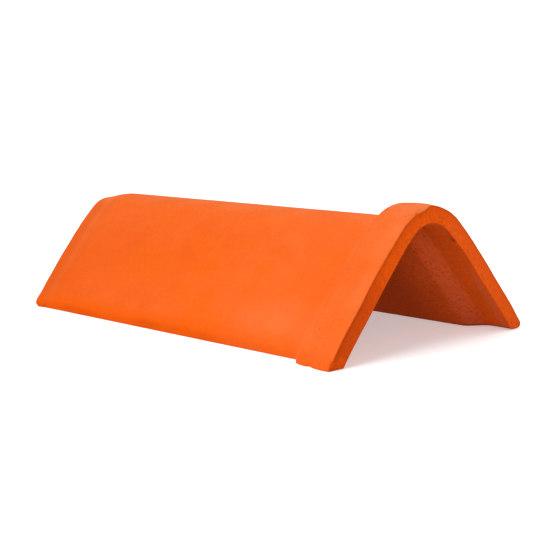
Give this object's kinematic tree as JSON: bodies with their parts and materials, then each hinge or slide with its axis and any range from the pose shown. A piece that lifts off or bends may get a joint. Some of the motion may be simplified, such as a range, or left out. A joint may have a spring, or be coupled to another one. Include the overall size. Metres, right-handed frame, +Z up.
{
  "type": "ridge tile",
  "caption": "Fired-clay ridge tile with a rounded inverted-V section, a raised socket collar at one end and a stepped spigot at the other, laid lapped along a roof ridge.",
  "frame": {"origin": "on the floor plane of the feet, under the middle of the tile's length and width", "axes": "+X along the ridge towards the collar end, +Y across the ridge, +Z up through the crest"},
  "size_m": [0.38, 0.2, 0.099],
  "materials": {
    "fired_clay": "matte"
  },
  "bodies": {
    "root": {"ridge_tile": "fired_clay"}
  },
  "joints": []
}
